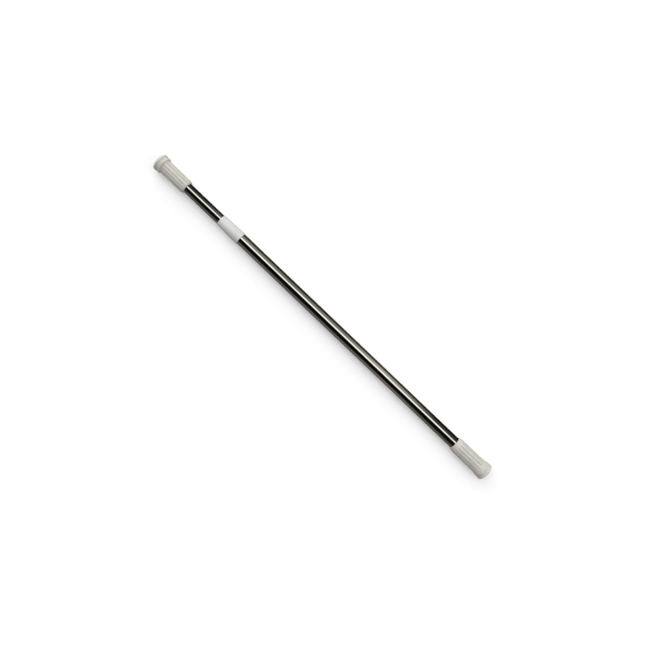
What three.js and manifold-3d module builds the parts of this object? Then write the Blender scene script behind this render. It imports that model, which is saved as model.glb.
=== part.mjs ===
// A doorway pull-up bar: two chromed steel tubes that telescope on a screw inside them, a tapered collar at
// their joint, and at each end a ribbed boot with a soft pad that is pressed against the door jamb.
//
// Millimetres. +X runs along the bar, from the outer tube's pad face at x = 0 to the inner tube's pad face.
// The screw's rod is fixed in the outer tube and its nut in the inner tube, so turning one tube in the other
// moves them apart by one thread lead a turn.

import * as THREE from "three";
import { mergeVertices } from "three/addons/utils/BufferGeometryUtils.js";
import Module from "manifold-3d";

const wasm = await Module();
wasm.setup();

// ---------------------------------------------------------------- driving dimensions

const BAR_LENGTH = 1023; // pad face to pad face at rest
const CLOSING_TRAVEL = 104; // from rest until the boot is just short of the collar
const OPENING_TRAVEL = 144; // from rest until the nut is just short of the rod's stop washer
const GAP = 0.3; // room left between neighbouring pieces
const FACETS = 40; // sides of a turned piece
const SMALL_FACETS = 12; // sides of a pin, rivet or cross hole

const OUTER_TUBE = { radius: 14, wall: 1.2, end: 797 };
const INNER_TUBE = { radius: 12.5, wall: 1.2, start: 503 };

const PAD = { radius: 16.5, thickness: 5, proud: 1, edge: 0.6 };
const FOOT = { radius: 20.8, neck: 19.7, edge: 1.4, length: 16, floor: 4 };
const RIBS = { count: 12, depth: 0.9, facets: 5, runOut: 2.5 };
const OUTER_BOOT = { length: 99, sleeve: 17.9, mouth: 15.4, bevel: 12, flare: 5, turn: Math.PI / 9 };
const INNER_BOOT = { length: 88.5, sleeve: 16.7, mouth: 14.8, bevel: 7, flare: 1.5, turn: 0 };
const END_DISC = { flange: 2, boss: 8 };

const COLLAR = {
  start: 767,
  waistAt: 797,
  noseAt: 804,
  end: 829,
  skirt: 15.4,
  waist: 15,
  nose: 14.4,
  tip: 13.3,
};

const ROD = { radius: 8, anchorStub: 6, anchorStubLength: 22, tipStub: 5 };
const ANCHOR_PLUG = { length: 25, clearOfNut: 8 };
const CROSS_PIN = { radius: 2.5, bore: 1.4, slot: 0.9 };
const NUT = { flange: 3, groove: 9.6, grooveRadius: 10.1, lip: 2, body: 28, shoulder: 12.2 };
const GUIDE_RING = { width: 9, split: 1.6 };
const RIVETS = { count: 3, radius: 2, seat: 9.1, fromTubeEnd: 14 };
const STOP = {
  clearOfNut: 3,
  washer: 3,
  washerRadius: 10.6,
  bush: 12,
  lockNut: 8,
  lockNutFlats: 16,
  tip: 2,
};

// ---------------------------------------------------------------- stations worked out along the bar

const outerTubeBore = OUTER_TUBE.radius - OUTER_TUBE.wall;
const innerTubeBore = INNER_TUBE.radius - INNER_TUBE.wall;
const bootFloorStart = PAD.thickness + GAP; // from a pad face inwards, at either end
const bootFloorEnd = bootFloorStart + FOOT.floor;
const tubeSeat = bootFloorEnd + END_DISC.flange + 2 * GAP;

const nutFlangeStart = INNER_TUBE.start - GAP - NUT.flange;
const nutStart = nutFlangeStart - NUT.groove - NUT.lip;
const nutEnd = INNER_TUBE.start + NUT.body;
const rodShoulder = nutStart - CLOSING_TRAVEL - ANCHOR_PLUG.clearOfNut;
const anchorPlugEnd = rodShoulder - GAP;
const anchorPlugStart = anchorPlugEnd - ANCHOR_PLUG.length;
const crossPinX = (anchorPlugStart + anchorPlugEnd) / 2;
const rodThreadEnd = nutEnd + OPENING_TRAVEL + STOP.clearOfNut;
const washerStart = rodThreadEnd + GAP;
const bushStart = washerStart + STOP.washer + GAP;
const lockNutStart = bushStart + STOP.bush + GAP;
const rodTip = lockNutStart + STOP.lockNut + STOP.tip;

// ---------------------------------------------------------------- finishes

function finish(color, metalness, roughness) {
  return new THREE.MeshStandardMaterial({ color, metalness, roughness });
}
const CHROME = finish(0xc9c8c4, 1, 0.12);
const ZINC_STEEL = finish(0x9fa2a3, 1, 0.4);
const BOOT_PVC = finish(0xcfcfc8, 0, 0.55);
const COLLAR_PLASTIC = finish(0xe2e4e4, 0, 0.35);
const PAD_RUBBER = finish(0xb9b8b1, 0, 0.8);
const NYLON = finish(0xe6e2d2, 0, 0.5);

// ---------------------------------------------------------------- shape helpers

const bar = new THREE.Group();

// Adds a named mesh to a group.
function addPiece(group, name, geometry, material) {
  const mesh = new THREE.Mesh(geometry, material);
  mesh.name = name;
  group.add(mesh);
}

// A solid turned about the X axis. Its [x, radius] points run along +X on the outside and close on the axis.
function turned(profile, facets = FACETS) {
  const points = profile.map(([x, radius]) => new THREE.Vector2(radius, x));
  return new THREE.LatheGeometry(points, facets).rotateZ(-Math.PI / 2);
}

// A flat shape drawn out along Z.
function extruded(shape, depth, curveSegments) {
  return new THREE.ExtrudeGeometry(shape, { depth, bevelEnabled: false, curveSegments });
}

// A ring turned about the X axis, whose profile closes on itself.
function turnedRing(profile, facets = FACETS) {
  return turned([...profile, profile[0]], facets);
}

// A plain ring between two stations, with a small chamfer on its outer edges.
function plainRing(start, end, bore, radius, chamfer = 0.4) {
  return turnedRing([
    [start, bore],
    [start, radius - chamfer],
    [start + chamfer, radius],
    [end - chamfer, radius],
    [end, radius - chamfer],
    [end, bore],
  ]);
}

// A closed geometry as a solid that can be joined and cut.
function solidOf(geometry) {
  const bare = geometry.clone();
  bare.deleteAttribute("normal");
  bare.deleteAttribute("uv");
  const merged = mergeVertices(bare);
  return new wasm.Manifold(
    new wasm.Mesh({
      numProp: 3,
      vertProperties: merged.attributes.position.array,
      triVerts: new Uint32Array(merged.index.array),
    }),
  );
}

// A solid's triangles as a geometry.
function geometryOf(solid) {
  const mesh = solid.getMesh();
  const geometry = new THREE.BufferGeometry();
  geometry.setAttribute("position", new THREE.BufferAttribute(mesh.vertProperties, 3));
  geometry.setIndex(new THREE.BufferAttribute(mesh.triVerts, 1));
  geometry.computeVertexNormals();
  return geometry;
}

// A geometry with others cut out of it.
function cut(geometry, cutters) {
  return geometryOf(cutters.reduce((solid, cutter) => solid.subtract(solidOf(cutter)), solidOf(geometry)));
}

// A cylinder across the bar, along the Y axis, centred at a station.
function crossCylinder(x, radius, length) {
  return new THREE.CylinderGeometry(radius, radius, length, SMALL_FACETS).translate(x, 0, 0);
}

// A cylinder that points out of the bar's axis at a station, between two radii, turned about X by an angle.
function radialCylinder(x, radius, inner, outer, angle) {
  return new THREE.CylinderGeometry(radius, radius, outer - inner, SMALL_FACETS)
    .translate(x, (inner + outer) / 2, 0)
    .rotateX(angle);
}

// ---------------------------------------------------------------- the end pieces, from a pad face inwards

// The soft disc that meets the jamb.
function makePad() {
  return turned([
    [0, 0],
    [0, PAD.radius - PAD.edge],
    [PAD.edge, PAD.radius],
    [PAD.thickness, PAD.radius],
    [PAD.thickness, 0],
  ]);
}

// The boot: a cup for the pad, a flared foot, and a ribbed sleeve with a bevelled mouth. At every rib's edge
// the sleeve is drawn inwards, which leaves a groove between two ribs.
function makeBoot(boot, tubeRadius) {
  const bore = tubeRadius + GAP;
  const padSeat = PAD.radius + GAP;
  const footEnd = PAD.proud + FOOT.length;
  const sleeveStart = footEnd + boot.flare;
  const sleeveEnd = boot.length - boot.bevel;
  const ribbed = true;
  const outline = [
    { x: bootFloorStart, r: 0 },
    { x: bootFloorStart, r: padSeat },
    { x: PAD.proud, r: padSeat },
    { x: PAD.proud, r: FOOT.radius - FOOT.edge },
    { x: PAD.proud + FOOT.edge, r: FOOT.radius },
    { x: footEnd, r: FOOT.neck },
    { x: sleeveStart, r: boot.sleeve },
    { x: sleeveStart + RIBS.runOut, r: boot.sleeve, ribbed },
    { x: sleeveEnd - RIBS.runOut, r: boot.sleeve, ribbed },
    { x: sleeveEnd, r: boot.sleeve },
    { x: boot.length, r: boot.mouth },
    { x: boot.length, r: bore },
    { x: bootFloorEnd, r: bore },
    { x: bootFloorEnd, r: 0 },
  ];
  const geometry = turned(outline.map(({ x, r }) => [x, r]), RIBS.count * RIBS.facets);
  const position = geometry.attributes.position;
  for (let i = 0; i < position.count; i++) {
    const facet = Math.floor(i / outline.length) % RIBS.facets;
    const point = outline[i % outline.length];
    if (point.ribbed && facet === 0) {
      const scale = (point.r - RIBS.depth) / point.r;
      position.setY(i, position.getY(i) * scale);
      position.setZ(i, position.getZ(i) * scale);
    }
  }
  return geometry.rotateX(boot.turn);
}

// The steel disc that spreads a tube's load over the boot's floor, with a boss inside the tube.
function makeEndDisc(tubeRadius, tubeBore) {
  const flangeStart = bootFloorEnd + GAP;
  const flangeEnd = flangeStart + END_DISC.flange;
  const bossEnd = flangeEnd + END_DISC.boss;
  return turned([
    [flangeStart, 0],
    [flangeStart, tubeRadius],
    [flangeEnd, tubeRadius],
    [flangeEnd, tubeBore - GAP],
    [bossEnd - 1, tubeBore - GAP],
    [bossEnd, tubeBore - GAP - 1],
    [bossEnd, 0],
  ]);
}

// One end's pad, boot and disc as a group, with the pad face at x = 0.
function makeEnd(side, boot, tube) {
  const end = new THREE.Group();
  addPiece(end, `${side}_pad`, makePad(), PAD_RUBBER);
  addPiece(end, `${side}_boot`, makeBoot(boot, tube.radius), BOOT_PVC);
  addPiece(end, `${side}_end_disc`, makeEndDisc(tube.radius, tube.radius - tube.wall), ZINC_STEEL);
  return end;
}

bar.add(makeEnd("outer", OUTER_BOOT, OUTER_TUBE));

const innerEnd = makeEnd("inner", INNER_BOOT, INNER_TUBE);
innerEnd.position.x = BAR_LENGTH;
innerEnd.rotation.z = Math.PI;
bar.add(innerEnd);

// ---------------------------------------------------------------- tubes

// A tube between two stations, with its cut edges broken on the outside.
function makeTube(start, end, tube) {
  return plainRing(start, end, tube.radius - tube.wall, tube.radius, 0.3);
}

const crossHole = crossCylinder(crossPinX, CROSS_PIN.radius + GAP, 2 * OUTER_TUBE.radius + 4);
const outerTube = cut(makeTube(tubeSeat, OUTER_TUBE.end, OUTER_TUBE), [crossHole]);
addPiece(bar, "outer_tube", outerTube, CHROME);

const rivetX = INNER_TUBE.start + RIVETS.fromTubeEnd;
const rivetAngles = Array.from({ length: RIVETS.count }, (_, i) => (2 * Math.PI * i) / RIVETS.count);
const rivetHoles = rivetAngles.map((angle) =>
  radialCylinder(rivetX, RIVETS.radius + GAP, RIVETS.seat, INNER_TUBE.radius + 2, angle),
);
const innerTube = cut(makeTube(INNER_TUBE.start, BAR_LENGTH - tubeSeat, INNER_TUBE), rivetHoles);
addPiece(bar, "inner_tube", innerTube, CHROME);

// ---------------------------------------------------------------- collar

// A sleeve over the outer tube's mouth, with a nose that tapers down to the inner tube and guides it.
function makeCollar() {
  const tubeStop = OUTER_TUBE.end + GAP;
  const sleeveBore = OUTER_TUBE.radius + GAP;
  const guideBore = INNER_TUBE.radius + GAP;
  return turnedRing([
    [COLLAR.start, sleeveBore],
    [COLLAR.start, COLLAR.skirt - 0.5],
    [COLLAR.start + 0.8, COLLAR.skirt],
    [COLLAR.waistAt, COLLAR.waist],
    [COLLAR.noseAt, COLLAR.nose],
    [COLLAR.end - 0.6, COLLAR.tip],
    [COLLAR.end, COLLAR.tip - 0.3],
    [COLLAR.end, guideBore],
    [tubeStop, guideBore],
    [tubeStop, sleeveBore],
  ]);
}
addPiece(bar, "collar", makeCollar(), COLLAR_PLASTIC);

// ---------------------------------------------------------------- screw: rod, anchor, stop

// The rod: a stub pinned in the anchor plug, the threaded length at its major diameter, and a stub for the
// stop.
function makeRod() {
  const stubStart = rodShoulder - ROD.anchorStubLength;
  const body = turned([
    [stubStart, 0],
    [stubStart, ROD.anchorStub],
    [rodShoulder, ROD.anchorStub],
    [rodShoulder, ROD.radius],
    [rodThreadEnd, ROD.radius],
    [rodThreadEnd, ROD.tipStub],
    [rodTip - 1, ROD.tipStub],
    [rodTip, ROD.tipStub - 1],
    [rodTip, 0],
  ]);
  return cut(body, [crossHole]);
}
addPiece(bar, "screw_rod", makeRod(), ZINC_STEEL);

// The steel slug in the outer tube that holds the rod, with a blind hole for its stub.
function makeAnchorPlug() {
  const radius = outerTubeBore - GAP;
  const holeBottom = rodShoulder - ROD.anchorStubLength - GAP;
  const body = turned([
    [anchorPlugStart, 0],
    [anchorPlugStart, radius - 1],
    [anchorPlugStart + 1, radius],
    [anchorPlugEnd - 1, radius],
    [anchorPlugEnd, radius - 1],
    [anchorPlugEnd, ROD.anchorStub + GAP],
    [holeBottom, ROD.anchorStub + GAP],
    [holeBottom, 0],
  ]);
  return cut(body, [crossHole]);
}
addPiece(bar, "anchor_plug", makeAnchorPlug(), ZINC_STEEL);

// The slotted spring pin across the outer tube, the plug and the rod's stub.
function makeCrossPin() {
  const halfSlot = Math.asin(CROSS_PIN.slot / 2 / CROSS_PIN.bore);
  const section = new THREE.Shape();
  section.absarc(0, 0, CROSS_PIN.radius, halfSlot, 2 * Math.PI - halfSlot, false);
  section.absarc(0, 0, CROSS_PIN.bore, 2 * Math.PI - halfSlot, halfSlot, true);
  const length = 2 * (OUTER_TUBE.radius - GAP);
  return extruded(section, length, SMALL_FACETS)
    .translate(0, 0, -length / 2)
    .rotateX(Math.PI / 2)
    .translate(crossPinX, 0, 0);
}
addPiece(bar, "anchor_pin", makeCrossPin(), ZINC_STEEL);

const stubBore = ROD.tipStub + GAP;
const stopWasher = plainRing(washerStart, washerStart + STOP.washer, stubBore, STOP.washerRadius);
addPiece(bar, "stop_washer", stopWasher, ZINC_STEEL);

const centringBush = plainRing(bushStart, bushStart + STOP.bush, stubBore, innerTubeBore - GAP, 1);
addPiece(bar, "centring_bush", centringBush, NYLON);

// The hexagon nut that locks the stop washer and the bush on the rod's tip.
function makeLockNut() {
  const corner = STOP.lockNutFlats / 2 / Math.cos(Math.PI / 6);
  const corners = Array.from({ length: 6 }, (_, i) => {
    const angle = (i * Math.PI) / 3;
    return new THREE.Vector2(corner * Math.cos(angle), corner * Math.sin(angle));
  });
  const hexagon = new THREE.Shape(corners);
  hexagon.holes.push(new THREE.Path().absarc(0, 0, stubBore, 0, 2 * Math.PI, true));
  return extruded(hexagon, STOP.lockNut, FACETS / 2)
    .rotateY(Math.PI / 2)
    .translate(lockNutStart, 0, 0);
}
addPiece(bar, "lock_nut", makeLockNut(), ZINC_STEEL);

// ---------------------------------------------------------------- nut, its rivets and its guide ring

// The drive nut: a body riveted inside the inner tube, a flange on the tube's end, and a grooved nose.
function makeDriveNut() {
  const bore = ROD.radius + GAP;
  const grooveStart = nutStart + NUT.lip;
  const body = turnedRing([
    [nutStart, bore],
    [nutStart, NUT.shoulder - 0.6],
    [nutStart + 0.6, NUT.shoulder],
    [grooveStart, NUT.shoulder],
    [grooveStart, NUT.grooveRadius],
    [nutFlangeStart, NUT.grooveRadius],
    [nutFlangeStart, NUT.shoulder],
    [INNER_TUBE.start - GAP, NUT.shoulder],
    [INNER_TUBE.start - GAP, innerTubeBore - GAP],
    [nutEnd, innerTubeBore - GAP],
    [nutEnd, bore],
  ]);
  return cut(body, rivetHoles);
}
addPiece(bar, "drive_nut", makeDriveNut(), ZINC_STEEL);

rivetAngles.forEach((angle, i) => {
  const rivet = radialCylinder(rivetX, RIVETS.radius, RIVETS.seat + GAP, INNER_TUBE.radius - GAP / 2, angle);
  addPiece(bar, `nut_rivet_${i + 1}`, rivet, ZINC_STEEL);
});

// The split ring in the nut's groove. It slides along the outer tube and keeps the inner tube's end central.
function makeGuideRing() {
  const start = (nutStart + NUT.lip + nutFlangeStart - GUIDE_RING.width) / 2;
  const outside = outerTubeBore - GAP;
  const inside = NUT.grooveRadius + GAP;
  const ring = plainRing(start, start + GUIDE_RING.width, inside, outside, 0.5);
  const split = new THREE.BoxGeometry(GUIDE_RING.width + 2, GUIDE_RING.split, outside);
  split.translate(start + GUIDE_RING.width / 2, 0, -outside);
  return cut(ring, [split]);
}
addPiece(bar, "guide_ring", makeGuideRing(), NYLON);

export default bar;
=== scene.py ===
"""A doorway pull-up bar, finished around its CAD frame: every sub-part is modelled again in its fine shape.

The bar lies along X. Angles about it are right-handed: 0 points along +Y, and 90 degrees along +Z, which
is up. Sizes are in millimetres, because the part is drawn in them, and MM turns them into Blender's metres.
"""

import math

import bmesh
import bpy
from mathutils import Matrix, Vector


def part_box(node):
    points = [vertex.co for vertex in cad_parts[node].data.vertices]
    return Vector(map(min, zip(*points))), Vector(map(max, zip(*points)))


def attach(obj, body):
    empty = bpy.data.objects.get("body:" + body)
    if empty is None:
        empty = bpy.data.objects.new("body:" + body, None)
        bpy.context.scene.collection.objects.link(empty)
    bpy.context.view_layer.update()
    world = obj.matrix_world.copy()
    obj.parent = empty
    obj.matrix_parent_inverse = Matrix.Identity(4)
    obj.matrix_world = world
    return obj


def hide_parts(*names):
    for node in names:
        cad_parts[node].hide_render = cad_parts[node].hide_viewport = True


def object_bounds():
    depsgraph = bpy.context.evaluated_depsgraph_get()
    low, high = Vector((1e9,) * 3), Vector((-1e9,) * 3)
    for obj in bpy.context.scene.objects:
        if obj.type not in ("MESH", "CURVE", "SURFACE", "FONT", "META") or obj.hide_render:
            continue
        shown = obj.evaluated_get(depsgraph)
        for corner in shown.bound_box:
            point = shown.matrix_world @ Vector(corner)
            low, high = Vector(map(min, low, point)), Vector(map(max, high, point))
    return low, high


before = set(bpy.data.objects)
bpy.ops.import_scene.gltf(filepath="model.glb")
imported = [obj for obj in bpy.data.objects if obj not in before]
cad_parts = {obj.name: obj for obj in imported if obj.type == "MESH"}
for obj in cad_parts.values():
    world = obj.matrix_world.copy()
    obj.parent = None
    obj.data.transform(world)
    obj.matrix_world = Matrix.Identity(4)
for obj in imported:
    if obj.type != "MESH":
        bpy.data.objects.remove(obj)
cad_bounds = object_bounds()

MM = 0.001
FULL_TURN = 2 * math.pi
UP = math.pi / 2
# A tube's face is part of a round wall when it lies this near to it and faces this squarely in or out.
NEAR_WALL = 0.02 * MM
FACES_OUT = 0.98

# ---------------------------------------------------------------- sizes, in millimetres

GAP = 0.3
TUBE_WALL = 1.2
TUBE_LIP = 0.35
DRILL_MARGIN = 6.0
TUBE_COLUMNS = 192
TURNED_COLUMNS = 96
BOOT_COLUMNS = 360
PAD_COLUMNS = 240

THREAD = {
    "lead": 4.0, "crest": 8.0, "root": 6.0, "clearance": 0.28,
    "half_root": 1.08, "half_crest": 0.6, "run_in": 0.5, "columns": 48,
}
ROD_TIP = 5.0
ROD_TIP_BORE = ROD_TIP + GAP
PLUG = {
    "recess": 0.6, "recess_radius": 3.0, "recess_mouth": 3.6,
    "groove_at": 6.4, "groove_half_width": 0.6, "groove_depth": 0.5,
}
PIN = {"radius": 2.5, "bore": 1.4, "slot": 0.9, "taper": 0.9, "draft": 0.35}
RIVET = {"count": 3, "radius": 2.0, "foot": 9.1, "sink": 0.15, "crown": 1.2}
NUT_GROOVE = 10.1
GUIDE_RING = {"bore": 10.4, "line_at": 4.5, "line_half_width": 0.5, "line_depth": 0.35, "half_split": 0.8}
LOCK_NUT = {"flats": 8.0, "chamfer": 7.7, "chamfer_angle": math.radians(30), "columns": 144}
END_DISC = {"dimple": 5.0, "dimple_depth": 0.7, "flange": 2.0, "length": 10.0}

MOUTH_LIP = 0.6
PAD_RADIUS = 16.5
PAD_PROUD = 1.0
PAD_THICKNESS = 5.0
PAD_RINGS = {"radii": (5.2, 8.6, 12.0), "half_width": 0.65, "edge": 0.3}
PAD_CHANNELS = {"count": 12, "half_width": 0.35, "edge": 0.5, "inner_end": 5.6}
PAD_PATTERN = {"radius": 15.6, "depth": 1.1, "step": 0.35}
CUP_FLOOR = 4.0
# The rim's last entry gives how far from the groove behind the rim its painted shade stays full and where it
# ends, in millimetres.
RIM = {"base": 18.0, "length": 8.0, "groove": 19.4, "groove_end": 0.6, "rim_groove_shade": (0.3, 1.2)}
RIBS = {
    "count": 12, "depth": 1.5, "floor_share": 0.1, "width_share": 0.34, "crown": 0.25,
    "foot_fade": (6.0, 1.0), "mouth_fade": (1.5, 2.0),
}
BOOTS = {
    "outer": {
        "length": 99.0, "sleeve": 17.9, "mouth": 15.4, "bevel": 12.0,
        "neck": 20.0, "shoulder": 12.0, "sleeve_start": 26.0, "turn": math.radians(17),
    },
    "inner": {
        "length": 88.5, "sleeve": 16.7, "mouth": 14.8, "bevel": 7.0,
        "neck": 19.8, "shoulder": 16.0, "sleeve_start": 18.6, "turn": 0.0,
    },
}
COLLAR = {
    "bead": 2.2, "bead_height": 0.3, "straight": 30.0, "waist": 38.0,
    "nose_lip": 2.4, "nose": 13.45, "tip": 13.25,
}


def extent(node):
    """A node's first and last station along the bar and its largest radius, in millimetres."""
    low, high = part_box(node)
    return low.x / MM, high.x / MM, max(high.y, high.z) / MM


# ---------------------------------------------------------------- profiles

def rounded(corners, closed=False, steps=5):
    """Points of a profile whose corners are (x, r) or (x, r, fillet), each fillet an arc of that radius."""
    points = []
    count = len(corners)
    for i, corner in enumerate(corners):
        here = Vector(corner[:2])
        fillet = corner[2] if len(corner) > 2 else 0.0
        if not fillet or (not closed and i in (0, count - 1)):
            points.append(tuple(here))
            continue
        back = Vector(corners[i - 1][:2]) - here
        ahead = Vector(corners[(i + 1) % count][:2]) - here
        half_angle = back.angle(ahead) / 2
        reach = min(fillet / math.tan(half_angle), 0.49 * back.length, 0.49 * ahead.length)
        radius = reach * math.tan(half_angle)
        middle = (back.normalized() + ahead.normalized()).normalized()
        centre = here + middle * (radius / math.sin(half_angle))
        start = here + back.normalized() * reach - centre
        end = here + ahead.normalized() * reach - centre
        sweep = start.angle_signed(end)
        for step in range(steps + 1):
            turned = start.copy()
            turned.rotate(Matrix.Rotation(-sweep * step / steps, 2))
            points.append(tuple(centre + turned))
    return points


# ---------------------------------------------------------------- meshes

def new_object(name, vertices, faces, groove_darkness=None):
    """A mesh object from vertices in millimetres, with its faces turned outwards and a groove darkness value
    at each.
    """
    mesh = bpy.data.meshes.new(name)
    mesh.from_pydata([Vector(v) * MM for v in vertices], [], faces)
    if groove_darkness:
        mesh.attributes.new("groove_darkness", "FLOAT", "POINT").data.foreach_set("value", groove_darkness)
    cleaner = bmesh.new()
    cleaner.from_mesh(mesh)
    bmesh.ops.recalc_face_normals(cleaner, faces=cleaner.faces)
    cleaner.to_mesh(mesh)
    cleaner.free()
    obj = bpy.data.objects.new(name, mesh)
    bpy.context.scene.collection.objects.link(obj)
    return obj


def on_circle(x, r, angle):
    return x, r * math.cos(angle), r * math.sin(angle)


def revolve(name, rings, closed=False):
    """A body whose skin is rings of (x, r, groove darkness) points about the bar, all with as many points.

    A ring at r = 0 is a single point on the axis. A closed body joins its last ring to its first.
    """
    vertices = []
    groove_darkness = []
    index = []
    for ring in rings:
        on_axis = all(point[1] < 1e-6 for point in ring)
        first = len(vertices)
        kept = ring[:1] if on_axis else ring
        for j, point in enumerate(kept):
            vertices.append(on_circle(point[0], point[1], FULL_TURN * j / len(ring)))
            groove_darkness.append(point[2])
        index.append([first] * len(ring) if on_axis else list(range(first, first + len(ring))))
    faces = []
    for k in range(len(rings) if closed else len(rings) - 1):
        here, there = index[k], index[(k + 1) % len(rings)]
        for j in range(len(here)):
            after = (j + 1) % len(here)
            corners = [here[j], here[after], there[after], there[j]]
            face = list(dict.fromkeys(corners))
            if len(face) > 2:
                faces.append(face)
    return new_object(name, vertices, faces, groove_darkness)


def turned(name, corners, closed=False, columns=TURNED_COLUMNS, steps=5):
    """A body turned from a profile whose corners may have fillets."""
    rings = [[(x, r, 0.0)] * columns for x, r in rounded(corners, closed, steps)]
    return revolve(name, rings, closed)


def smooth(obj, angle=math.radians(32)):
    """Smooth shading that breaks at sharp edges, with flat faces kept flat."""
    obj.data.shade_smooth()
    obj.data.set_sharp_from_angle(angle=angle)
    weighted = obj.modifiers.new("weighted_normals", "WEIGHTED_NORMAL")
    weighted.keep_sharp = True
    return obj


def apply_modifiers(obj):
    """Replaces an object's mesh by what its modifiers make of it."""
    graph = bpy.context.evaluated_depsgraph_get()
    mesh = bpy.data.meshes.new_from_object(obj.evaluated_get(graph))
    obj.modifiers.clear()
    obj.data = mesh


def cut(obj, cutters):
    """Cuts closed objects out of another and removes them."""
    for cutter in cutters:
        boolean = obj.modifiers.new("cut", "BOOLEAN")
        boolean.operation = "DIFFERENCE"
        boolean.solver = "EXACT"
        boolean.object = cutter
    apply_modifiers(obj)
    for cutter in cutters:
        bpy.data.objects.remove(cutter)
    return obj


def pointed_out(obj, x, angle):
    """Turns a piece made along X to point out of the bar at x, along an angle about the bar."""
    obj.data.transform(Matrix.Rotation(UP, 4, "Z"))
    obj.data.transform(Matrix.Rotation(angle, 4, "X"))
    obj.data.transform(Matrix.Translation((x * MM, 0, 0)))
    return obj


def cross_drill(x, radius, start, end, angle, columns=32):
    """A plain drill across the bar at x, from radius start to radius end, along an angle about the bar."""
    rings = [[(start, 0, 0.0)] * columns, [(start, radius, 0.0)] * columns]
    rings += [[(end, radius, 0.0)] * columns, [(end, 0, 0.0)] * columns]
    return pointed_out(revolve("drill", rings), x, angle)


def polish_normals(obj, radii):
    """Gives a drilled tube the true normals of its round faces, so that its reflections run straight."""
    mesh = obj.data
    mesh.shade_smooth()
    normals = []
    for face in mesh.polygons:
        middle = face.center
        radial = Vector((0, middle.y, middle.z)).normalized()
        distance = math.hypot(*mesh.vertices[face.vertices[0]].co.yz)
        at_wall = any(abs(distance - r * MM) < NEAR_WALL for r in radii)
        on_wall = at_wall and abs(face.normal.dot(radial)) > FACES_OUT
        side = 1 if face.normal.dot(radial) > 0 else -1
        for vertex in face.vertices:
            point = mesh.vertices[vertex].co
            round_normal = side * Vector((0, point.y, point.z)).normalized()
            normals.append(round_normal if on_wall else face.normal.copy())
    mesh.normals_split_custom_set(normals)
    return obj


def drilled_tube(name, node, drills):
    """A chromed tube between a CAD tube's ends, with small rounded lips and cross holes.

    It has a ring of points on both sides of each hole, so that the long faces beyond stay whole.
    """
    start, end, radius = extent(node)
    bore = radius - TUBE_WALL
    beside_holes = sorted({round(x + side * DRILL_MARGIN, 3) for x, *_ in drills for side in (-1, 1)})
    inside = [(x, bore) for x in reversed(beside_holes)]
    outside = [(x, radius) for x in beside_holes]
    outer_wall = [(start, radius, TUBE_LIP), *outside, (end, radius, TUBE_LIP)]
    corners = [(start, bore), *outer_wall, (end, bore), *inside]
    tube = turned(name, corners, closed=True, columns=TUBE_COLUMNS)
    cut(tube, [cross_drill(*drill) for drill in drills])
    return polish_normals(tube, (radius, bore))


# ---------------------------------------------------------------- boots, pads and collar

def ease(value, low, high):
    """0 below low and 1 above high, with a smooth step between them."""
    t = min(max((value - low) / (high - low), 0.0), 1.0)
    return t * t * (3 - 2 * t)


def rib_cut(angle, turn):
    """How deep the sleeve is drawn in at an angle, in millimetres, and how much of that is groove."""
    pitch = FULL_TURN / RIBS["count"]
    offset = (angle - UP - turn + pitch / 2) % pitch - pitch / 2
    share = abs(offset) / pitch
    groove = 1 - ease(share, RIBS["floor_share"] / 2, RIBS["width_share"] / 2)
    return RIBS["depth"] * groove + RIBS["crown"] * (1 - 2 * share) ** 2, groove


def rim_points(top):
    """The rolled rim round a boot's open end, out to a radius: most of half an ellipse of (x, r) points."""
    half, height = RIM["length"] / 2, top - RIM["base"]
    angles = [math.pi * k / 18 for k in range(15)]
    return [(PAD_PROUD + half * (1 - math.cos(a)), RIM["base"] + height * math.sin(a)) for a in angles]


def flare_points(size):
    """The foot behind the rim, which narrows in an S curve to the sleeve."""
    start = PAD_PROUD + RIM["length"] + RIM["groove_end"]
    stations = [start + (size["sleeve_start"] - start) * k / 24 for k in range(25)]
    drop = size["neck"] - size["sleeve"]
    return [(x, size["neck"] - drop * ease(x, size["shoulder"], size["sleeve_start"])) for x in stations]


def boot_profile(side, bore):
    """A boot's section as (x, r) points, from its pad cup round the outside to its bore."""
    size = BOOTS[side]
    floor_start = PAD_THICKNESS + GAP
    floor_end = floor_start + CUP_FLOOR
    sleeve_start = size["sleeve_start"]
    sleeve_end = size["length"] - size["bevel"]
    stations = [sleeve_start + (sleeve_end - sleeve_start) * k / 30 for k in range(1, 30)]
    bevel = [(sleeve_end + x, size["sleeve"] - 0.1 * x) for x in (1.0, 2.0)]
    return rounded([
        (floor_start, 0),
        (floor_start, PAD_RADIUS + GAP, 0.3),
        (PAD_PROUD, PAD_RADIUS + GAP, 0.5),
        *rim_points(extent(f"{side}_boot")[2]),
        (PAD_PROUD + RIM["length"], RIM["groove"]),
        *flare_points(size),
        *[(x, size["sleeve"]) for x in stations],
        (sleeve_end, size["sleeve"]),
        *bevel,
        (size["length"], size["mouth"], 0.7),
        (size["length"], bore, 0.4),
        (floor_end, bore, 0.5),
        (floor_end, 0),
    ])


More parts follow.
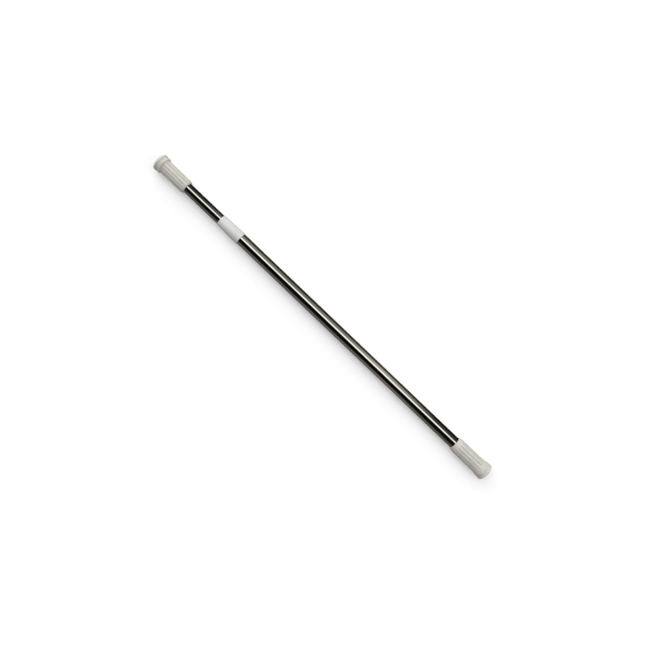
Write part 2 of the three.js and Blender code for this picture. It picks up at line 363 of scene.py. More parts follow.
def boot(name, side, tube_radius):
    """A moulded boot, its pad face at x = 0: rolled rim, flared foot, ribbed sleeve and bevelled mouth."""
    size = BOOTS[side]
    bore = tube_radius + GAP
    rim_end = PAD_PROUD + RIM["length"]
    sleeve_start = size["sleeve_start"]
    sleeve_end = size["length"] - size["bevel"]
    before_foot, past_foot = RIBS["foot_fade"]
    before_mouth, past_mouth = RIBS["mouth_fade"]
    rings = []
    for x, r in boot_profile(side, bore):
        outside = r > bore + MOUTH_LIP
        window = ease(x, max(size["shoulder"], sleeve_start - before_foot), sleeve_start + past_foot)
        window *= 1 - ease(x, sleeve_end - before_mouth, sleeve_end + past_mouth)
        # Painted shade in the groove behind the rim, carried with the rib grooves' value for the material to
        # darken.
        rim_groove_shade = 1 - ease(abs(x - rim_end), *RIM["rim_groove_shade"])
        ring = []
        for j in range(BOOT_COLUMNS):
            depth, groove = rib_cut(FULL_TURN * j / BOOT_COLUMNS, size["turn"])
            ring.append((x, r - depth * window, max(groove * window, rim_groove_shade)) if outside else (x, r, 0.0))
        rings.append(ring)
    return revolve(name, rings)


def pad_groove(r, angle):
    """How deep the pad's pattern is at a radius and an angle, from 0 to 1."""
    half, edge = PAD_RINGS["half_width"], PAD_RINGS["edge"]
    in_ring = max(1 - ease(abs(r - at), half - edge, half + edge) for at in PAD_RINGS["radii"])
    pitch = FULL_TURN / PAD_CHANNELS["count"]
    from_channel = abs((angle / pitch + 0.5) % 1 - 0.5) * pitch * r
    half, inner_end = PAD_CHANNELS["half_width"], PAD_CHANNELS["inner_end"]
    in_channel = 1 - ease(from_channel, half, half + PAD_CHANNELS["edge"])
    in_channel *= ease(r, inner_end, inner_end + 0.6)
    return max(in_ring, in_channel)


def pad(name):
    """The soft disc in a boot's cup, its face at x = 0, with moulded rings and radial channels in it."""
    pattern_edge, step = PAD_PATTERN["radius"], PAD_PATTERN["step"]
    outline = rounded([(0, 0), (0, PAD_RADIUS, 0.6), (PAD_THICKNESS, PAD_RADIUS, 0.3), (PAD_THICKNESS, 0)])
    face = [(0, step * k) for k in range(int(pattern_edge / step))]
    edge = [(x, r) for x, r in outline if r > pattern_edge or x > 1]
    rings = []
    for x, r in face + edge:
        ring = []
        for j in range(PAD_COLUMNS):
            in_pattern = x < 0.01 and r < pattern_edge
            groove = pad_groove(r, FULL_TURN * j / PAD_COLUMNS) if in_pattern else 0.0
            ring.append((x + PAD_PATTERN["depth"] * groove, r, groove))
        rings.append(ring)
    return revolve(name, rings)


def collar():
    """The sleeve over the outer tube's mouth, whose nose tapers down to the inner tube."""
    start, end, skirt = extent("collar")
    tube_end = extent("outer_tube")[1] + GAP
    tube_bore = extent("outer_tube")[2] + GAP
    guide_bore = extent("inner_tube")[2] + GAP
    bead_end = start + COLLAR["bead"]
    lip_start = end - COLLAR["nose_lip"]
    return turned("collar_moulding", [
        (start, tube_bore, 0.2),
        (start, skirt - 0.1, 0.5),
        (bead_end, skirt, 0.5),
        (bead_end + 0.7, skirt - COLLAR["bead_height"], 0.3),
        (start + COLLAR["straight"], skirt - 0.5, 8),
        (start + COLLAR["waist"], skirt - 1.1, 8),
        (lip_start, COLLAR["nose"], 0.6),
        (lip_start + 0.6, COLLAR["nose"] - 0.15, 0.4),
        (end, COLLAR["tip"], 0.35),
        (end, guide_bore, 0.15),
        (tube_end, guide_bore),
        (tube_end, tube_bore),
    ], closed=True, columns=TUBE_COLUMNS)


# ---------------------------------------------------------------- screw, nut and the small steel pieces

def thread_pattern(first_turn, end):
    """Stations and depths (0 at the root, 1 at the crest) of a trapezoidal thread that fades at both ends.

    Also gives how many of them there are to a turn.
    """
    lead, half_root, half_crest = THREAD["lead"], THREAD["half_root"], THREAD["half_crest"]
    turns = int((end - first_turn) / lead) - 1
    points = []
    for turn in range(turns):
        at = first_turn + turn * lead
        share = ease(turn, 0.5, 1.5) * (1 - ease(turn, turns - 3.5, turns - 2.5))
        points += [(at, 0.0), (at + half_root, 0.0), (at + 0.5 * lead - half_crest, share)]
        points += [(at + 0.5 * lead + half_crest, share), (at + lead - half_root, 0.0)]
    return points, len(points) // turns


def helical_skin(start, first_turn, end, root, crest):
    """A right-handed thread from start to end, whose first turn begins at first_turn.

    Gives its vertices, its faces, and the indices of its first and last plain rings.
    """
    pattern, per_turn = thread_pattern(first_turn, end)
    columns = THREAD["columns"]
    phase = THREAD["lead"] / columns
    vertices = []
    for j in range(columns):
        for x, share in pattern:
            r = root + (crest - root) * share
            vertices.append(on_circle(x + phase * j, r, FULL_TURN * j / columns))
    count = len(pattern)
    grid = [[j * count + k for k in range(count)] for j in range(columns)]
    first = list(range(len(vertices), len(vertices) + columns))
    vertices += [on_circle(start, root, FULL_TURN * j / columns) for j in range(columns)]
    last = list(range(len(vertices), len(vertices) + columns))
    vertices += [on_circle(end, root, FULL_TURN * j / columns) for j in range(columns)]
    faces = []
    for j in range(columns - 1):
        for k in range(count - 1):
            faces.append([grid[j][k], grid[j + 1][k], grid[j + 1][k + 1], grid[j][k + 1]])
        faces.append([first[j], first[j + 1], grid[j + 1][0], grid[j][0]])
        faces.append([grid[j][-1], grid[j + 1][-1], last[j + 1], last[j]])
    seam = columns - 1
    for k in range(count - 1 - per_turn):
        faces.append([grid[seam][k], grid[0][k + per_turn], grid[0][k + 1 + per_turn], grid[seam][k + 1]])
    faces.append([first[seam], first[0], *grid[0][:per_turn + 1], grid[seam][0]])
    faces.append([*grid[seam][count - 1 - per_turn:], last[seam], last[0], grid[0][-1]])
    return vertices, faces, first, last


def add_rings(vertices, faces, edge, profile):
    """Carries a skin on from an edge loop through (x, r) rings, the last of which may be on the axis."""
    columns = len(edge)
    for x, r in profile:
        first = len(vertices)
        if r < 1e-6:
            vertices.append((x, 0, 0))
            ring = [first] * columns
        else:
            vertices += [on_circle(x, r, FULL_TURN * j / columns) for j in range(columns)]
            ring = list(range(first, first + columns))
        for j in range(columns):
            after = (j + 1) % columns
            faces.append(list(dict.fromkeys([edge[j], edge[after], ring[after], ring[j]])))
        edge = ring
    return edge


def rod_thread_start():
    """Where the rod's thread begins, just clear of its plug."""
    return extent("anchor_plug")[1] + GAP


def screw_rod():
    """The rod: a plain stub for the plug, the thread, and a plain stub for the stop."""
    start, end, _ = extent("screw_rod")
    thread_start = rod_thread_start()
    thread_end = extent("stop_washer")[0] - GAP
    root, crest = THREAD["root"], THREAD["crest"]
    first_turn = thread_start + THREAD["run_in"]
    vertices, faces, first, last = helical_skin(thread_start, first_turn, thread_end, root, crest)
    chamfer = 0.8
    add_rings(vertices, faces, first, [(start + chamfer, root), (start, root - chamfer), (start, 0)])
    tip = rounded([(thread_end, ROD_TIP), (end - 1, ROD_TIP), (end, ROD_TIP - 1), (end, 0)])
    add_rings(vertices, faces, last, tip)
    rod = new_object("rolled_thread_rod", vertices, faces)
    return cut(rod, [cross_drill(*drill) for drill in pin_drills()])


def drive_nut():
    """The nut, threaded right through, with a groove for its guide ring and a flange against its tube.

    Its ridges lie half a lead from the rod's, so they stand in the rod's grooves.
    """
    start, end, shoulder = extent("drive_nut")
    tube_start = extent("inner_tube")[0]
    ring_start, ring_end, _ = extent("guide_ring")
    body = extent("inner_tube")[2] - TUBE_WALL - GAP
    clearance = THREAD["clearance"]
    root = THREAD["crest"] + clearance
    crest = THREAD["root"] + clearance
    lead = THREAD["lead"]
    first_turn = start + THREAD["run_in"] + (rod_thread_start() - start + lead / 2) % lead
    vertices, faces, first, last = helical_skin(start, first_turn, end, root, crest)
    outside = rounded([
        (start, root),
        (start, shoulder, 0.5),
        (ring_start - GAP, shoulder, 0.2),
        (ring_start - GAP, NUT_GROOVE, 0.2),
        (ring_end + GAP, NUT_GROOVE, 0.2),
        (ring_end + GAP, shoulder, 0.2),
        (tube_start - GAP, shoulder, 0.2),
        (tube_start - GAP, body, 0.2),
        (end, body, 0.6),
        (end, root),
    ])[1:-1]
    edge = add_rings(vertices, faces, first, outside)
    for j, here in enumerate(edge):
        after = (j + 1) % len(edge)
        faces.append([here, edge[after], last[after], last[j]])
    nut = new_object("threaded_drive_nut", vertices, faces)
    return cut(nut, [cross_drill(*drill) for drill in rivet_drills()])


def pin_drills():
    """The drill for the spring pin, right across the outer tube along Y, as cross_drill's arguments."""
    start, end, _ = extent("anchor_pin")
    reach = extent("outer_tube")[2] + 4
    return [((start + end) / 2, PIN["radius"] + GAP, -reach, reach, 0.0)]


def rivet_drills():
    """The drills for the nut's rivets, one for each, as cross_drill's arguments."""
    start, end, _ = extent("nut_rivet_1")
    reach = extent("inner_tube")[2] + 2.5
    angles = [FULL_TURN * i / RIVET["count"] for i in range(RIVET["count"])]
    return [((start + end) / 2, RIVET["radius"] + GAP, RIVET["foot"], reach, angle) for angle in angles]


def nut_rivet(i):
    """A flush rivet with a slightly domed head, pointing out of the bar."""
    start, end, _ = extent("nut_rivet_1")
    foot = RIVET["foot"] + GAP
    head = extent("inner_tube")[2] - RIVET["sink"]
    rivet = turned(f"flush_rivet_{i + 1}", [
        (foot, 0),
        (foot, RIVET["radius"], 0.3),
        (head - 0.3, RIVET["radius"], 0.2),
        (head, RIVET["crown"], 0.6),
        (head, 0),
    ], columns=32)
    return pointed_out(rivet, (start + end) / 2, FULL_TURN * i / RIVET["count"])


def anchor_plug():
    """The slug that holds the rod's stub, with a recessed face, two turned grooves and a cross hole."""
    start, end, radius = extent("anchor_plug")
    hole = THREAD["root"] + GAP
    hole_bottom = extent("screw_rod")[0] - GAP
    recess = start + PLUG["recess"]
    half_width = PLUG["groove_half_width"]
    grooves = []
    for side in (-1, 1):
        at = (start + end) / 2 + side * PLUG["groove_at"]
        grooves.append((at - half_width, radius, 0.2))
        grooves.append((at, radius - PLUG["groove_depth"], 0.2))
        grooves.append((at + half_width, radius, 0.2))
    plug = turned("rod_anchor_plug", [
        (recess, 0),
        (recess, PLUG["recess_radius"], 0.4),
        (start, PLUG["recess_mouth"], 0.4),
        (start, radius, 1.0),
        *grooves,
        (end, radius, 1.0),
        (end, hole, 0.4),
        (hole_bottom, hole),
        (hole_bottom, 0),
    ])
    return cut(plug, [cross_drill(*drill) for drill in pin_drills()])


def spring_pin():
    """The slotted spring pin: a rolled C of spring steel with tapered ends, across the bar along Y."""
    start, end, reach = extent("anchor_pin")
    bore, taper, draft = PIN["bore"], PIN["taper"], PIN["draft"]
    half = math.asin(PIN["slot"] / 2 / bore)
    arc = [half + (FULL_TURN - 2 * half) * k / 40 for k in range(41)]
    sections = [(-reach, draft), (-reach + taper, 0), (reach - taper, 0), (reach, draft)]
    vertices = []
    for y, shrink in sections:
        for r in (PIN["radius"] - shrink, bore):
            vertices += [(r * math.cos(a), y, r * math.sin(a)) for a in arc]
    count = len(arc)
    section = 2 * count
    loop = list(range(count)) + list(range(section - 1, count - 1, -1))
    faces = []
    for k in range(len(sections) - 1):
        for j in range(section):
            a, b = loop[j], loop[(j + 1) % section]
            faces.append([k * section + a, k * section + b, (k + 1) * section + b, (k + 1) * section + a])
    for base in (0, (len(sections) - 1) * section):
        for j in range(base, base + count - 1):
            faces.append([j, j + 1, count + j + 1, count + j])
    pin = new_object("slotted_spring_pin", vertices, faces)
    pin.data.transform(Matrix.Translation(((start + end) / 2 * MM, 0, 0)))
    return pin


def guide_ring():
    """The split nylon ring, chamfered, with its split underneath."""
    start, end, radius = extent("guide_ring")
    bore, half_width = GUIDE_RING["bore"], GUIDE_RING["line_half_width"]
    line = start + GUIDE_RING["line_at"]
    ring = turned("split_guide_ring", [
        (start, bore, 0.3),
        (start, radius, 0.7),
        (line - half_width, radius, 0.2),
        (line, radius - GUIDE_RING["line_depth"], 0.2),
        (line + half_width, radius, 0.2),
        (end, radius, 0.7),
        (end, bore, 0.3),
    ], closed=True)
    half_length, half_height, below = 8, 6, 12
    square = math.sqrt(2)
    split = turned("split", [(-1, 0), (-1, 1), (1, 1), (1, 0)], columns=4)
    split.data.transform(Matrix.Rotation(UP / 2, 4, "X"))
    stretch = (half_length, GUIDE_RING["half_split"] * square, half_height * square, 1)
    split.data.transform(Matrix.Diagonal(stretch))
    split.data.transform(Matrix.Translation(((start + end) / 2 * MM, 0, -below * MM)))
    return cut(ring, [split])


def plain_ring(name, node, fillet):
    """A washer or a bush with rounded edges round the rod's tip, at a CAD ring's place."""
    start, end, radius = extent(node)
    return turned(name, [
        (start, ROD_TIP_BORE, 0.3),
        (start, radius, fillet),
        (end, radius, fillet),
        (end, ROD_TIP_BORE, 0.3),
    ], closed=True)


def lock_nut():
    """A hexagon nut with its corners chamfered on both faces."""
    start, end, _ = extent("lock_nut")
    columns, chamfer, bore = LOCK_NUT["columns"], LOCK_NUT["chamfer"], ROD_TIP_BORE
    countersink = 0.6
    start_corners = []
    end_corners = []
    for j in range(columns):
        from_flat = (FULL_TURN * j / columns + UP + math.pi / 6) % (math.pi / 3) - math.pi / 6
        hexagon = LOCK_NUT["flats"] / math.cos(from_flat)
        bevel = (hexagon - chamfer) * math.tan(LOCK_NUT["chamfer_angle"])
        start_corners.append((start + bevel, hexagon, 0.0))
        end_corners.append((end - bevel, hexagon, 0.0))
    rings = [
        [(start + countersink, bore, 0.0)] * columns,
        [(start, bore + countersink, 0.0)] * columns,
        [(start, chamfer, 0.0)] * columns,
        start_corners,
        end_corners,
        [(end, chamfer, 0.0)] * columns,
        [(end, bore + countersink, 0.0)] * columns,
        [(end - countersink, bore, 0.0)] * columns,
    ]
    return revolve("hexagon_lock_nut", rings, closed=True)


def end_disc(name, node, tube_radius, flip):
    """The pressed steel disc between a boot's floor and its tube, with a boss and a dimpled middle."""
    start, end, _ = extent(node)
    boss = tube_radius - TUBE_WALL - GAP
    dimple, depth = END_DISC["dimple"], END_DISC["dimple_depth"]
    flange, length = END_DISC["flange"], END_DISC["length"]
    corners = [
        (depth, 0),
        (depth, dimple, 0.6),
        (0, dimple + 1, 0.6),
        (0, tube_radius, 0.5),
        (flange, tube_radius, 0.3),
        (flange, boss, 0.3),
        (length, boss, 1.6),
        (length, 0),
    ]
    return turned(name, [(end - x if flip else start + x, *rest) for x, *rest in corners])


def flipped_to_inner_end(obj):
    """Turns a piece made with the outer pad's face at x = 0 round to the inner pad's face."""
    _, bar_end, _ = extent("inner_pad")
    obj.data.transform(Matrix.Translation((bar_end * MM, 0, 0)) @ Matrix.Rotation(math.pi, 4, "Z"))
    return obj


# ---------------------------------------------------------------- materials

def linear(*srgb):
    """A colour for a shader's socket from 0 to 255 display values."""
    channels = [c / 255 for c in srgb]
    return (*[c / 12.92 if c <= 0.04045 else ((c + 0.055) / 1.055) ** 2.4 for c in channels], 1.0)


def math_node(tree, operation, *values):
    """What an operation makes of values, each of them a number or another node's output."""
    node = tree.nodes.new("ShaderNodeMath")
    node.operation = operation
    for socket, value in zip(node.inputs, values):
        if isinstance(value, (int, float)):
            socket.default_value = value
        else:
            tree.links.new(value, socket)
    return node.outputs["Value"]


def mix_node(tree, factor, first, second):
    """A colour between two others, each of them a colour or another node's output."""
    node = tree.nodes.new("ShaderNodeMix")
    node.data_type = "RGBA"
    tree.links.new(factor, node.inputs["Factor"])
    sockets = [s for s in node.inputs if s.type == "RGBA"]
    for socket, value in zip(sockets, (first, second)):
        if isinstance(value, tuple):
            socket.default_value = value
        else:
            tree.links.new(value, socket)
    return next(s for s in node.outputs if s.type == "RGBA")


def range_node(tree, value, low, high, to_low=0.0, to_high=1.0):
    """A node that maps an output from low..high to to_low..to_high, clamped."""
    node = tree.nodes.new("ShaderNodeMapRange")
    limits = {"From Min": low, "From Max": high, "To Min": to_low, "To Max": to_high}
    for socket, limit in limits.items():
        node.inputs[socket].default_value = limit
    tree.links.new(value, node.inputs["Value"])
    return node


def ramp_node(tree, value, stops):
    """A colour that follows a value through (position, colour) stops."""
    node = tree.nodes.new("ShaderNodeValToRGB")
    elements = node.color_ramp.elements
    while len(elements) < len(stops):
        elements.new(0.5)
    for element, (position, colour) in zip(elements, stops):
        element.position = position
        element.color = colour
    tree.links.new(value, node.inputs["Fac"])
    return node.outputs["Color"]


class Look:
    """A procedural material under construction. Its textures use the bar's own coordinates, in metres."""

    def __init__(self, name, **constants):
        self.material = bpy.data.materials.new(name)
        self.material.use_nodes = True
        self.tree = self.material.node_tree
        self.shader = self.tree.nodes["Principled BSDF"]
        self.place = self.tree.nodes.new("ShaderNodeTexCoord").outputs["Object"]
        for socket, value in constants.items():
            self.shader.inputs[socket.replace("_", " ").title()].default_value = value

    def link(self, output, socket):
        self.tree.links.new(output, socket)

    def feed(self, socket, output):
        self.link(output, self.shader.inputs[socket])

    def noise(self, scale, detail=2.0, stretch=(1, 1, 1), roughness=0.55):
        """Noise with features of about 1 / scale metres, longer where stretch is below 1."""
        mapping = self.tree.nodes.new("ShaderNodeMapping")
        mapping.inputs["Scale"].default_value = [scale * s for s in stretch]
        self.link(self.place, mapping.inputs["Vector"])
        noise = self.tree.nodes.new("ShaderNodeTexNoise")
        noise.inputs["Scale"].default_value = 1.0
        noise.inputs["Detail"].default_value = detail
        noise.inputs["Roughness"].default_value = roughness
        self.link(mapping.outputs["Vector"], noise.inputs["Vector"])
        return noise.outputs["Fac"]

    def groove_darkness(self):
        """The groove darkness that a mesh keeps at its vertices: 1 in grooves, 0 elsewhere. The boots paint
        shade into their grooves with it, and the pads darken theirs.
        """
        attribute = self.tree.nodes.new("ShaderNodeAttribute")
        attribute.attribute_name = "groove_darkness"
        return attribute.outputs["Fac"]

    def spread(self, output, low, high, to_low=0.0, to_high=1.0):
        """Maps a texture's values from low..high to to_low..to_high, clamped."""
        return range_node(self.tree, output, low, high, to_low, to_high).outputs["Result"]

    def combine(self, operation, a, b):
        return math_node(self.tree, operation, a, b)

    def mix(self, factor, a, b):
        return mix_node(self.tree, factor, a, b)

    def bump(self, height, depth, strength=1.0, under=None):
        """Adds relief of a depth in metres, over an earlier relief if there is one."""
        node = self.tree.nodes.new("ShaderNodeBump")
        node.inputs["Strength"].default_value = strength
        node.inputs["Distance"].default_value = depth
        self.link(height, node.inputs["Height"])
        if under:
            self.link(under, node.inputs["Normal"])
        self.feed("Normal", node.outputs["Normal"])
        return node.outputs["Normal"]


# How far light travels under a plastic's skin, alike for every colour so that it brings in no tint.
UNDER_THE_SKIN = {"subsurface_scale": 0.002, "subsurface_radius": (1, 1, 1)}


def chrome(name, scuffs):
    """Bright chrome plate with polishing lines round the tube, hazy fingermarks and fine scuffs along it."""
    look = Look(name, metallic=1.0)
    haze = look.noise(14, 3)
    haze_mask = look.spread(haze, 0.52, 0.72)
    lines = look.noise(1600, 3, stretch=(1, 0.06, 0.06))
    streaks = look.noise(900, 2, stretch=(0.006, 1, 1))
    streak_mask = look.spread(streaks, 0.64, 0.74, 0.0, scuffs)
    look.feed("Base Color", look.mix(haze_mask, linear(224, 223, 221), linear(208, 207, 204)))
    hazy = look.spread(haze, 0.35, 0.75, 0.03, 0.075)
    rough = look.combine("ADD", hazy, look.spread(lines, 0.3, 0.7, 0.0, 0.02))
    look.feed("Roughness", look.combine("ADD", rough, streak_mask))
    relief = look.bump(lines, 0.0000012)
    look.bump(streaks, 0.000002, under=relief)
    return look.material


def boot_pvc():
    """Soft moulded PVC: warm light grey with a fine grain, cloudy patches, dust specks and painted shade in
    the grooves.
    """
    look = Look("boot_pvc", subsurface_weight=0.06, **UNDER_THE_SKIN)
    clouds = look.noise(45, 4)
    grain = look.noise(2600, 3)
    dust_and_shade_noise = look.noise(320, 4, roughness=0.7)
    base = look.mix(look.spread(clouds, 0.35, 0.65), linear(218, 215, 209), linear(210, 207, 201))
    speckled = look.mix(look.spread(dust_and_shade_noise, 0.6, 0.78, 0.0, 0.5), base, linear(188, 184, 176))
    # Painted shade: the rib grooves and the groove behind the rim are darkened towards a dark grey, in
    # patches that follow the dust noise.
    painted_groove_shade = look.combine("MULTIPLY", look.groove_darkness(), look.spread(dust_and_shade_noise, 0.3, 0.6, 0.08, 0.3))
    look.feed("Base Color", look.mix(painted_groove_shade, speckled, linear(140, 136, 127)))
    cloudy = look.spread(clouds, 0.3, 0.7, 0.44, 0.56)
    look.feed("Roughness", look.combine("ADD", cloudy, look.spread(grain, 0.3, 0.7, -0.05, 0.05)))
    relief = look.bump(grain, 0.00006, strength=0.6)
    look.bump(dust_and_shade_noise, 0.00012, strength=0.35, under=relief)
    return look.material


def collar_plastic():
    """Smooth cool white plastic with faint flow marks, a few scuffs and a little shine."""
    look = Look("collar_plastic", subsurface_weight=0.08, coat_weight=0.15, **UNDER_THE_SKIN)
    flow = look.noise(60, 3, stretch=(0.4, 1, 1))
    fine = look.noise(1900, 2)
    scuffs = look.noise(700, 3, stretch=(0.05, 1, 1))
    scuff_mask = look.spread(scuffs, 0.62, 0.72, 0.0, 0.35)
    base = look.mix(look.spread(flow, 0.35, 0.65), linear(230, 230, 230), linear(224, 224, 224))
    look.feed("Base Color", look.mix(scuff_mask, base, linear(196, 195, 193)))
    look.feed("Roughness", look.combine("ADD", look.spread(flow, 0.3, 0.7, 0.3, 0.38), scuff_mask))
    look.bump(fine, 0.00002, strength=0.5)
    return look.material


def pad_rubber():
    """Grey rubber: matt, speckled, paler where it has been pressed and darker in its grooves."""
    look = Look("pad_rubber")
    speckle = look.noise(1500, 4, roughness=0.7)
    clouds = look.noise(90, 3)
    base = look.mix(look.spread(clouds, 0.3, 0.7), linear(122, 121, 116), linear(136, 134, 128))
    # Darker in the grooves, by the mesh's groove value.
    groove_darkened = look.mix(look.combine("MULTIPLY", look.groove_darkness(), 0.6), base, linear(98, 96, 91))
    specks = look.spread(speckle, 0.62, 0.75, 0.0, 0.5)
    look.feed("Base Color", look.mix(specks, groove_darkened, linear(160, 158, 150)))
    look.feed("Roughness", look.spread(speckle, 0.3, 0.7, 0.7, 0.9))
    look.bump(speckle, 0.00008, strength=0.6)
    return look.material


def zinc_steel():
    """Zinc plated steel: satin, faintly blue to straw coloured, with turning marks and oily stains."""
    look = Look("zinc_steel", metallic=1.0)
    tint = look.noise(70, 3)
    marks = look.noise(2200, 3, stretch=(1, 0.05, 0.05))
    stains = look.noise(160, 4, roughness=0.65)
    base = look.mix(look.spread(tint, 0.35, 0.65), linear(186, 192, 197), linear(199, 196, 184))
    oily = look.spread(stains, 0.55, 0.75, 0.0, 0.6)
    look.feed("Base Color", look.mix(oily, base, linear(142, 139, 130)))
    look.feed("Roughness", look.spread(stains, 0.3, 0.7, 0.28, 0.46))
    look.bump(marks, 0.000008)
    return look.material


def nylon():
    """Natural nylon: waxy off-white, slightly translucent, with turning marks and grey rubbing patches."""
    look = Look("nylon", subsurface_weight=0.15, **UNDER_THE_SKIN)
    clouds = look.noise(110, 3)
    marks = look.noise(1800, 3, stretch=(1, 0.08, 0.08))
    base = look.mix(look.spread(clouds, 0.35, 0.65), linear(226, 220, 202), linear(216, 209, 190))
    look.feed("Base Color", look.mix(look.spread(clouds, 0.62, 0.8, 0.0, 0.6), base, linear(170, 166, 156)))
    look.feed("Roughness", look.spread(clouds, 0.3, 0.7, 0.4, 0.52))
    look.bump(marks, 0.00001)
    return look.material


LOOKS = {
    "outer_chrome": chrome("outer_tube_chrome", 0.02),
    "inner_chrome": chrome("inner_tube_chrome", 0.07),
    "boot_pvc": boot_pvc(),
    "collar_plastic": collar_plastic(),
    "pad_rubber": pad_rubber(),
    "zinc_steel": zinc_steel(),
    "nylon": nylon(),
}


# ---------------------------------------------------------------- the bar

def place(obj, node, body, slot, look=None, shading=smooth):
    """Finishes a piece: its shading, its material, the body it rides on and the CAD node it stands for."""
    if shading:
        shading(obj)
    obj.data.materials.clear()
    obj.data.materials.append(LOOKS[look or slot])
    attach(obj, body)
    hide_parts(node)


outer_radius = extent("outer_tube")[2]
inner_radius = extent("inner_tube")[2]
OUTER, INNER, GUIDE = "outer_assembly", "inner_assembly", "nut_guide"

outer_tube = drilled_tube("outer_tube_chromed", "outer_tube", pin_drills())
place(outer_tube, "outer_tube", OUTER, "chrome", "outer_chrome", shading=None)
inner_tube = drilled_tube("inner_tube_chromed", "inner_tube", rivet_drills())
place(inner_tube, "inner_tube", INNER, "chrome", "inner_chrome", shading=None)
place(collar(), "collar", OUTER, "collar_plastic")
place(boot("outer_boot_moulding", "outer", outer_radius), "outer_boot", OUTER, "boot_pvc")
inner_boot = flipped_to_inner_end(boot("inner_boot_moulding", "inner", inner_radius))
place(inner_boot, "inner_boot", INNER, "boot_pvc")
place(pad("outer_pad_disc"), "outer_pad", OUTER, "pad_rubber")
place(flipped_to_inner_end(pad("inner_pad_disc")), "inner_pad", INNER, "pad_rubber")
outer_disc = end_disc("outer_pressure_disc", "outer_end_disc", outer_radius, flip=False)
place(outer_disc, "outer_end_disc", OUTER, "zinc_steel")
inner_disc = end_disc("inner_pressure_disc", "inner_end_disc", inner_radius, flip=True)
place(inner_disc, "inner_end_disc", INNER, "zinc_steel")
place(screw_rod(), "screw_rod", OUTER, "zinc_steel")
place(anchor_plug(), "anchor_plug", OUTER, "zinc_steel")
place(spring_pin(), "anchor_pin", OUTER, "zinc_steel")
place(plain_ring("stop_washer_disc", "stop_washer", 0.5), "stop_washer", OUTER, "zinc_steel")
place(plain_ring("nylon_centring_bush", "centring_bush", 1.2), "centring_bush", OUTER, "nylon")
place(lock_nut(), "lock_nut", OUTER, "zinc_steel")
place(guide_ring(), "guide_ring", GUIDE, "nylon")
place(drive_nut(), "drive_nut", INNER, "zinc_steel")
for i in range(RIVET["count"]):
    place(nut_rivet(i), f"nut_rivet_{i + 1}", INNER, "zinc_steel")


# ---------------------------------------------------------------- studio

FLOOR = {"radius": 11000, "curve": 4000, "wall": 6000, "glow": 0.28, "glow_colour": (0.95, 0.97, 1.0, 1)}
# The lights lie over the picture's top edge. A heading is an angle from -Y towards +X.
LIGHT_HEADING = math.radians(43.7)
KEY_LIGHT = {
    "tilt": math.radians(53), "spread": math.radians(98), "strength": 1.52, "colour": (1.0, 0.995, 0.985),
}
FILL_LIGHT = {
    "tilt": 0.0, "spread": math.radians(150), "strength": 0.3, "colour": (0.975, 0.985, 1.0),
}

WORLD_STRENGTH = 1.35
# Bands round the bar: an angle from overhead, in degrees towards -Y, and the colour mirrored there.
MIDDLE_BANDS = [
    (-180, (128, 126, 122)), (-120, (106, 104, 100)), (-95, (94, 92, 88)), (-76, (92, 90, 85)),
    (-66, (78, 76, 72)), (-55, (9, 8, 6)), (-30, (5, 5, 4)), (2, (5, 5, 4)),
    (9, (255, 254, 251)), (24, (255, 254, 251)), (33, (176, 171, 161)), (66, (164, 158, 146)),
    (92, (70, 66, 56)), (108, (42, 39, 31)), (152, (46, 43, 36)), (179, (110, 108, 104)),
]
END_BANDS = [
    (-180, (110, 108, 104)), (-120, (86, 84, 80)), (-95, (78, 76, 72)), (-76, (70, 68, 64)),
    (-66, (52, 50, 46)), (-57, (9, 8, 6)), (-30, (5, 5, 4)), (2, (5, 5, 4)),
    (9, (255, 255, 253)), (24, (255, 255, 253)), (32, (62, 60, 52)), (66, (56, 54, 46)),
    (92, (22, 20, 14)), (108, (14, 13, 10)), (152, (22, 21, 18)), (179, (80, 78, 74)),
]
FAR_BANDS = [
    (-180, (200, 199, 197)), (-120, (196, 195, 193)), (-100, (140, 139, 136)), (-91, (48, 47, 45)),
    (-80, (76, 75, 72)), (-62, (146, 146, 145)), (-34, (168, 168, 167)), (-14, (92, 91, 88)),
    (2, (26, 25, 22)), (10, (255, 255, 253)), (40, (255, 255, 253)), (54, (156, 155, 152)),
    (80, (112, 110, 106)), (91, (46, 44, 41)), (102, (150, 148, 145)), (179, (200, 199, 197)),
]
# A direction's part along the bar, and how much of END_BANDS shows there.
END_SHARES = [
    (-0.24, 1.0), (-0.19, 0.45), (-0.13, 0.0), (-0.04, 0.55), (0.09, 0.65), (0.19, 0.4), (0.27, 1.0),
]
# The parts along the bar where FAR_BANDS begins to show, and where nothing else shows.
FAR_START, FAR_FULL = 0.31, 0.42


def studio_floor():
    """A pale, faintly lit paper floor that curves up into a wall far away on every side."""
    radius = FLOOR["radius"]
    floor = turned("studio_floor", [(0, 0), (0, radius, FLOOR["curve"]), (FLOOR["wall"], radius)], steps=24)
    floor.data.transform(Matrix.Rotation(-UP, 4, "Y"))
    floor.data.transform(Matrix.Translation((0, 0, cad_bounds[0][2])))
    floor.data.shade_smooth()
    glow = {"emission_color": FLOOR["glow_colour"], "emission_strength": FLOOR["glow"]}
    look = Look("studio_paper", roughness=0.9, **glow)
    look.feed("Base Color", look.mix(look.noise(3, 2), linear(243, 243, 243), linear(240, 240, 240)))
    floor.data.materials.append(look.material)
    floor.visible_glossy = False
    floor.visible_diffuse = False
    floor.visible_shadow = False


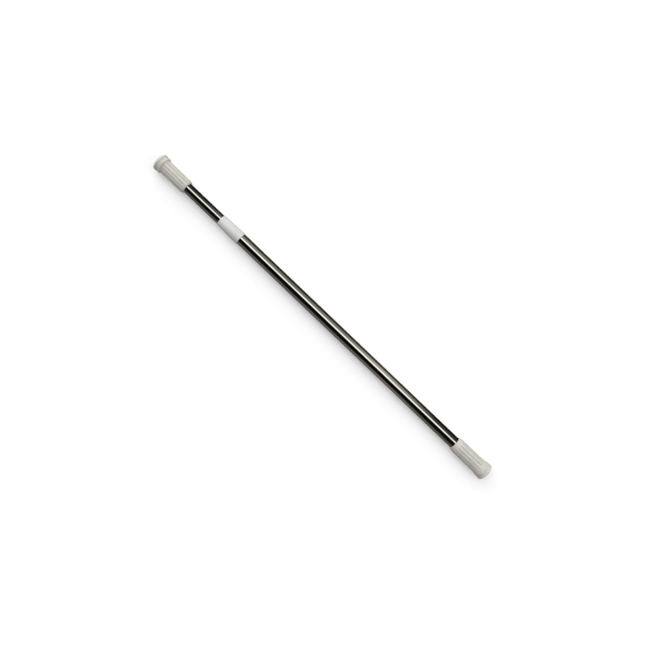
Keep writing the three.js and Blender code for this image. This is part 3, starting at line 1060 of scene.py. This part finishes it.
def studio_sun(name, tilt, spread, strength, colour):
    """A broad soft light that bright metal doesn't mirror, tilted from overhead towards LIGHT_HEADING."""
    light = bpy.data.lights.new(name, "SUN")
    light.angle = spread
    light.energy = strength
    light.color = colour
    lamp = bpy.data.objects.new(name, light)
    sideways = Vector((math.sin(LIGHT_HEADING), -math.cos(LIGHT_HEADING), 0))
    towards = sideways * math.sin(tilt) + Vector((0, 0, math.cos(tilt)))
    lamp.rotation_euler = towards.to_track_quat("Z", "Y").to_euler()
    lamp.visible_glossy = False
    bpy.context.scene.collection.objects.link(lamp)


def bands(tree, turn, stops):
    """The colours of bands round the bar at a turn, which is 0.5 overhead."""
    return ramp_node(tree, turn, [(0.5 + degrees / 360, linear(*colour)) for degrees, colour in stops])


def studio_world():
    """What bright metal mirrors: soft panels and dark gaps in bands round the bar."""
    world = bpy.data.worlds.new("studio")
    bpy.context.scene.world = world
    world.use_nodes = True
    tree = world.node_tree
    direction = tree.nodes.new("ShaderNodeSeparateXYZ")
    generated = tree.nodes.new("ShaderNodeTexCoord").outputs["Generated"]
    tree.links.new(generated, direction.inputs["Vector"])
    along, across, up = (direction.outputs[axis] for axis in "XYZ")

    from_overhead = math_node(tree, "ARCTAN2", math_node(tree, "MULTIPLY", across, -1.0), up)
    turn = math_node(tree, "ADD", math_node(tree, "DIVIDE", from_overhead, FULL_TURN), 0.5)
    shares = [(0.5 + x, (share, share, share, 1.0)) for x, share in END_SHARES]
    end_share = ramp_node(tree, math_node(tree, "ADD", along, 0.5), shares)
    far = range_node(tree, math_node(tree, "ABSOLUTE", along), FAR_START, FAR_FULL)
    far.interpolation_type = "SMOOTHSTEP"

    near_bands = mix_node(tree, end_share, bands(tree, turn, MIDDLE_BANDS), bands(tree, turn, END_BANDS))
    everywhere = mix_node(tree, far.outputs["Result"], near_bands, bands(tree, turn, FAR_BANDS))
    background = tree.nodes["Background"]
    tree.links.new(everywhere, background.inputs["Color"])
    background.inputs["Strength"].default_value = WORLD_STRENGTH


studio_floor()
studio_sun("key_light", **KEY_LIGHT)
studio_sun("fill_light", **FILL_LIGHT)
studio_world()
bpy.context.scene.view_settings.view_transform = "Standard"


# ---------------------------------------------------------------- camera

# The camera looks straight down. Its height and its step down the picture are in metres.
CAMERA_HEIGHT = 1.36
CAMERA_ROLL = math.radians(223.68)
FRAMING_DROP = 0.0125
SENSOR_WIDTH = 36
FOCAL_LENGTH = 33.5

bar_middle = Vector(((extent("outer_pad")[0] + extent("inner_pad")[1]) / 2 * MM, 0, 0))
camera_data = bpy.data.cameras.new("camera")
camera_data.sensor_width = SENSOR_WIDTH
camera_data.lens = FOCAL_LENGTH
camera = bpy.data.objects.new("camera", camera_data)
roll = Matrix.Rotation(CAMERA_ROLL, 4, "Z")
eye = bar_middle + roll @ Vector((0, -FRAMING_DROP, CAMERA_HEIGHT))
camera.matrix_world = Matrix.Translation(eye) @ roll
bpy.context.scene.collection.objects.link(camera)
bpy.context.scene.camera = camera
